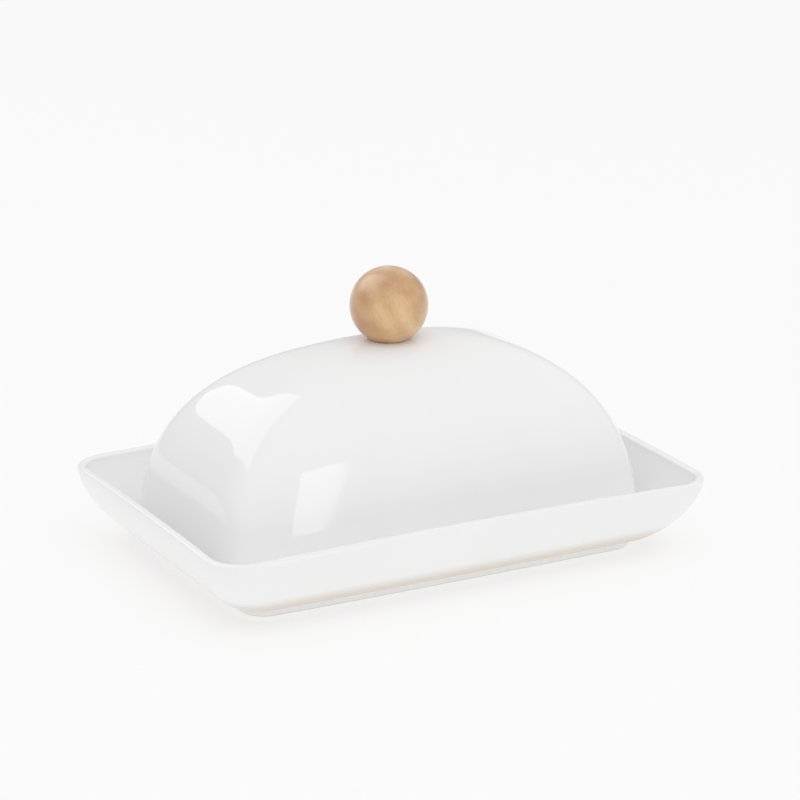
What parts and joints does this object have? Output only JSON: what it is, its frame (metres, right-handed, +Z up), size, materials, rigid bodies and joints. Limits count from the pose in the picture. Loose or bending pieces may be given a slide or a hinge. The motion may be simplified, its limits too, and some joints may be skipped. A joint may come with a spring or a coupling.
{
  "type": "butter dish",
  "caption": "White glazed porcelain butter dish: flared rectangular tray with a foot ring, and a loose domed lid with a wooden ball knob screwed on.",
  "frame": {"origin": "centre of the foot ring's underside, on the table", "axes": "+X along the dish's long side, +Y across it, +Z up through the knob"},
  "size_m": [0.2096, 0.1426, 0.111],
  "materials": {
    "tray_porcelain": "glossy clear glaze over white body",
    "lid_porcelain": "glossy clear glaze over white body",
    "knob_wood": "turned beech, satin oil",
    "insert_brass": "machined",
    "fixing_steel": "plain stainless",
    "washer_silicone": "translucent white silicone"
  },
  "bodies": {
    "tray": {"tray": "tray_porcelain"},
    "lid": {"lid": "lid_porcelain", "knob": "knob_wood", "threaded_insert": "insert_brass", "knob_screw": "fixing_steel", "steel_washer": "fixing_steel", "silicone_washer": "washer_silicone"}
  },
  "joints": [
    {"name": "lid_lift", "type": "slide", "parent": "tray", "child": "lid", "axis": [0, 0, 1], "range_m": [0, 0.12]}
  ]
}
